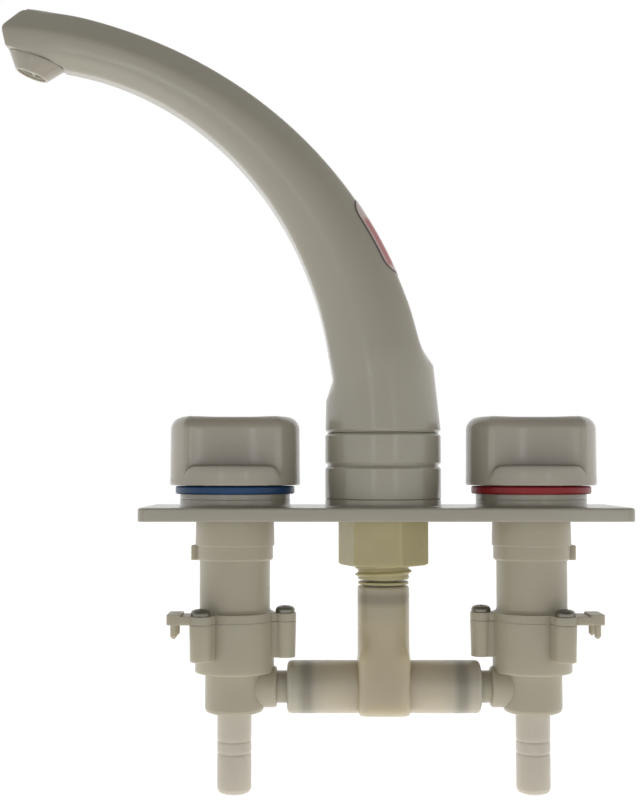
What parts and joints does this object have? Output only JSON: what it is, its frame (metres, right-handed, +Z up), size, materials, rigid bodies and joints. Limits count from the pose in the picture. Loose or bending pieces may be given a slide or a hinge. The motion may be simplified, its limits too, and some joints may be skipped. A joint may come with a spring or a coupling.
{
  "type": "mixer tap",
  "caption": "Deck mixer tap in moulded plastic: rectangular plate, two round knobs with blue and red rings, tall curved swivel spout, valves joined by a tee below the plate.",
  "frame": {"origin": "where the spout's axis meets the plate's underside, which rests on the worktop", "axes": "+X along the plate to the hot side, +Y to the back, +Z up along the spout's axis"},
  "size_m": [0.2203, 0.05, 0.2795],
  "materials": {
    "white_shell": "satin moulded",
    "valve_plastic": "natural moulded",
    "white_insert": "moulded",
    "natural_nylon": "natural moulded",
    "translucent_plastic": "translucent moulded",
    "blue_plastic": "gloss moulded",
    "red_plastic": "gloss moulded",
    "label_film": "printed film",
    "black_rubber": "moulded",
    "screw_steel": "turned",
    "spring_steel": "rolled"
  },
  "bodies": {
    "fixed": {"base_plate": "white_shell", "spout_collar": "white_shell", "spout_glide_ring": "white_insert", "mounting_stem": "natural_nylon", "swivel_orings": "black_rubber", "stem_nut": "natural_nylon", "stem_washer": "white_insert", "tee_piece": "translucent_plastic", "tee_orings": "black_rubber", "cold_index_ring": "blue_plastic", "cold_clamp_nut": "white_shell", "cold_valve_body": "valve_plastic", "cold_lower_housing": "valve_plastic", "cold_housing_seal": "black_rubber", "cold_housing_screws": "screw_steel", "cold_inlet_tail": "valve_plastic", "cold_inlet_oring": "black_rubber", "hot_index_ring": "red_plastic", "hot_clamp_nut": "white_shell", "hot_valve_body": "valve_plastic", "hot_lower_housing": "valve_plastic", "hot_housing_seal": "black_rubber", "hot_housing_screws": "screw_steel", "hot_inlet_tail": "valve_plastic", "hot_inlet_oring": "black_rubber"},
    "spout": {"spout_body": "white_shell", "spout_nozzle": "white_shell", "nozzle_insert": "white_insert", "nozzle_oring": "black_rubber", "blank_label": "label_film", "spout_clip": "spring_steel"},
    "cold_knob_set": {"cold_knob": "white_shell", "cold_knob_cap": "white_shell", "cold_knob_screw": "screw_steel", "cold_spindle": "white_insert", "cold_spindle_orings": "black_rubber", "cold_spindle_clip": "spring_steel"},
    "cold_jumper_set": {"cold_jumper": "white_insert", "cold_valve_washer": "black_rubber"},
    "hot_knob_set": {"hot_knob": "white_shell", "hot_knob_cap": "white_shell", "hot_knob_screw": "screw_steel", "hot_spindle": "white_insert", "hot_spindle_orings": "black_rubber", "hot_spindle_clip": "spring_steel"},
    "hot_jumper_set": {"hot_jumper": "white_insert", "hot_valve_washer": "black_rubber"}
  },
  "joints": [
    {"name": "spout_swivel", "type": "hinge", "parent": "fixed", "child": "spout", "pos_m": [0, 0, 0], "axis": [0, 0, 1], "continuous": true},
    {"name": "cold_knob_turn", "type": "hinge", "parent": "fixed", "child": "cold_knob_set", "pos_m": [-0.0525, 0, 0], "axis": [0, 0, 1], "range_deg": [0, 180]},
    {"name": "cold_jumper_lift", "type": "slide", "parent": "fixed", "child": "cold_jumper_set", "axis": [0, 0, 1], "range_m": [0, 0.002]},
    {"name": "hot_knob_turn", "type": "hinge", "parent": "fixed", "child": "hot_knob_set", "pos_m": [0.0525, 0, 0], "axis": [0, 0, 1], "range_deg": [0, 180]},
    {"name": "hot_jumper_lift", "type": "slide", "parent": "fixed", "child": "hot_jumper_set", "axis": [0, 0, 1], "range_m": [0, 0.002]}
  ],
  "couplings": [
    {"joint": "cold_jumper_lift", "follows": "cold_knob_turn", "m_per_rad": 0.000636},
    {"joint": "hot_jumper_lift", "follows": "hot_knob_turn", "m_per_rad": 0.000636}
  ]
}
